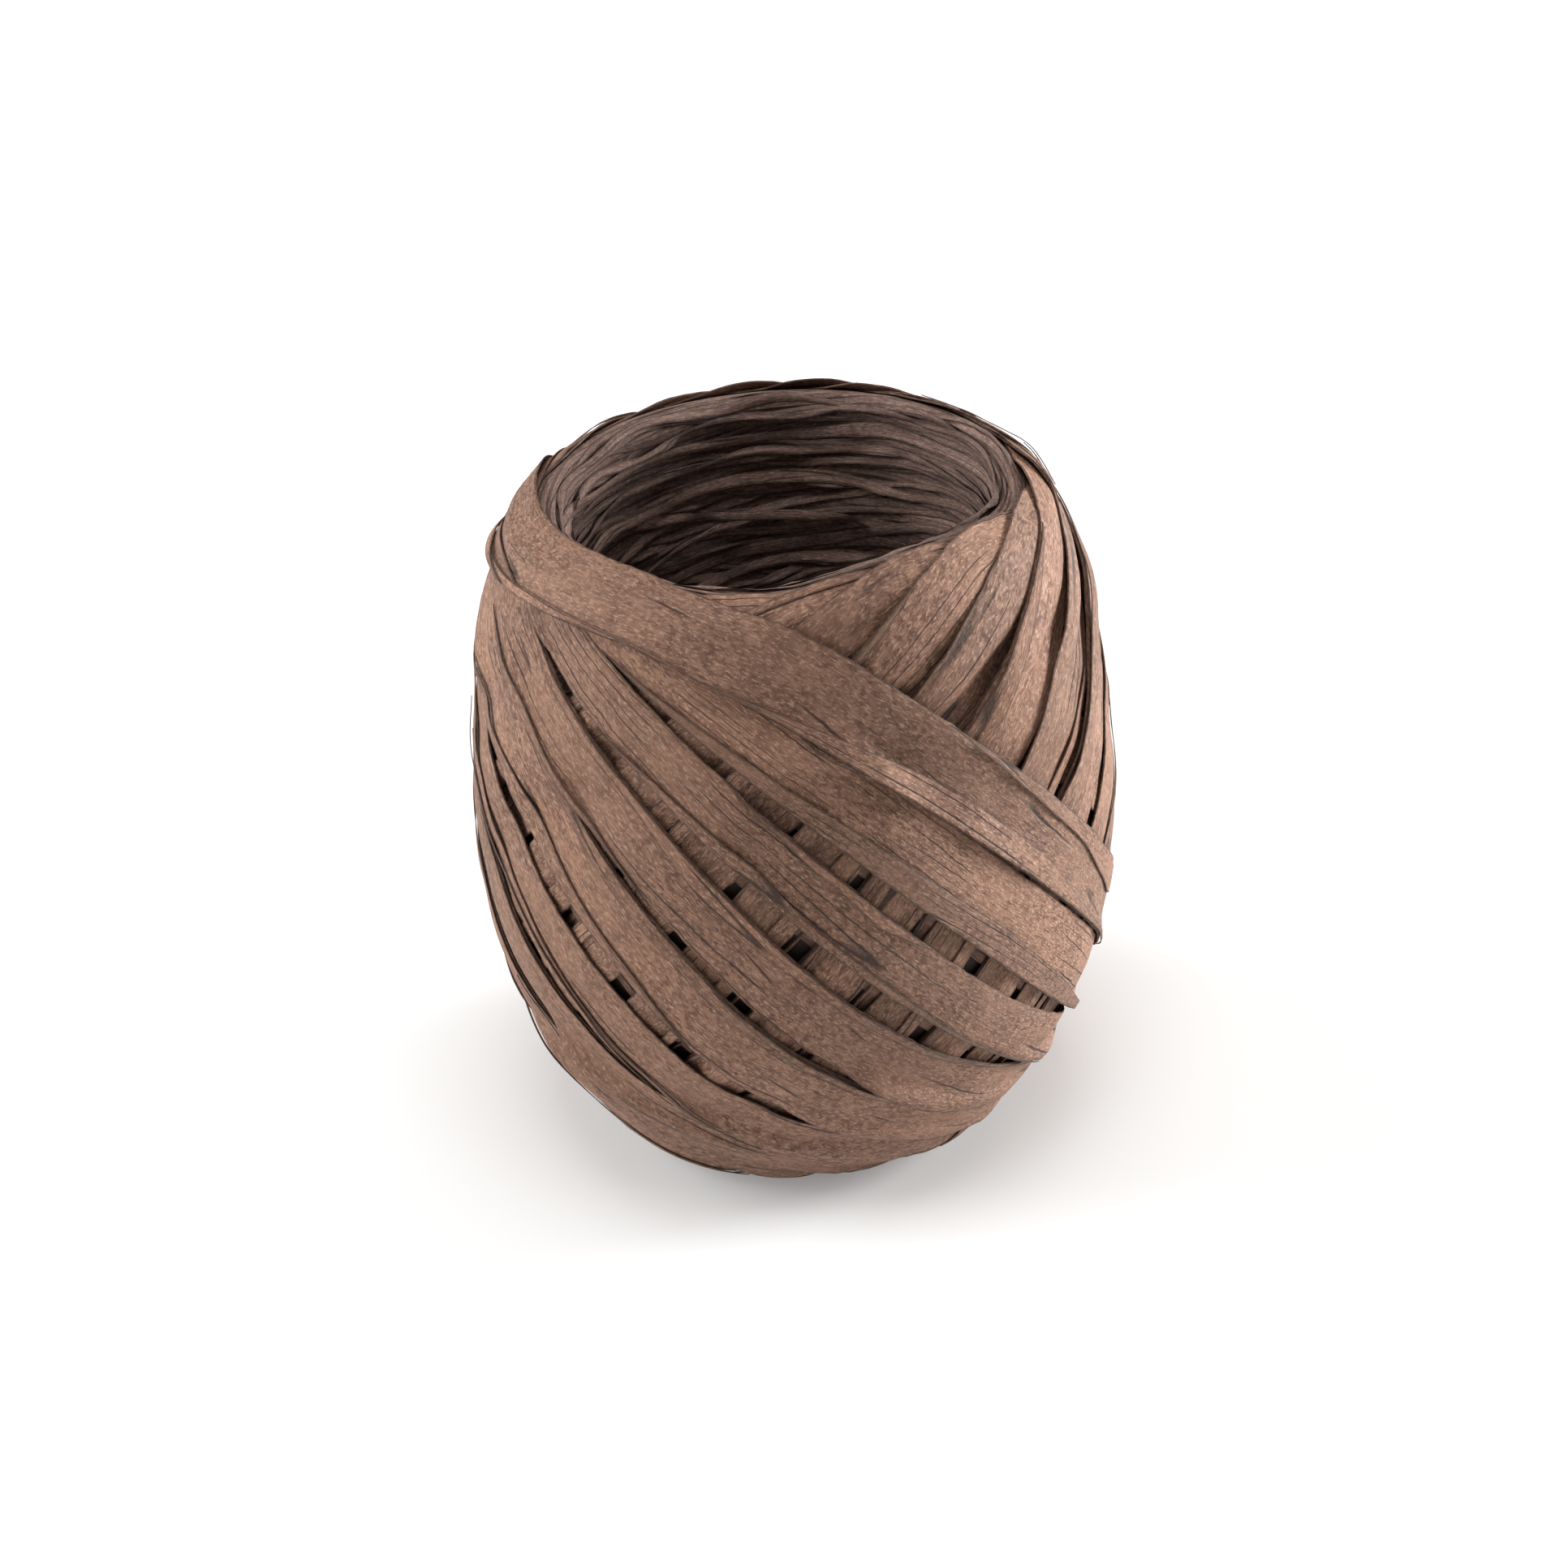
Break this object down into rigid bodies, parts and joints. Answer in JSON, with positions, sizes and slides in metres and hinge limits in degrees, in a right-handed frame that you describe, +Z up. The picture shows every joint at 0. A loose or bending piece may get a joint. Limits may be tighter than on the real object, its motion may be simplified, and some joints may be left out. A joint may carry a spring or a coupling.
{
  "type": "raffia yarn ball",
  "caption": "Centre-pull ball of flat brown paper raffia ribbon, wound at a slant round an open core, standing on one end.",
  "frame": {"origin": "middle of the bounding box at its base, where the ball stands", "axes": "+Z up along the open core, -Y towards the side that the picture shows"},
  "size_m": [0.0708, 0.0707, 0.074],
  "materials": {
    "raffia": "matte"
  },
  "bodies": {
    "root": {"wound_ball": "raffia"}
  },
  "joints": []
}
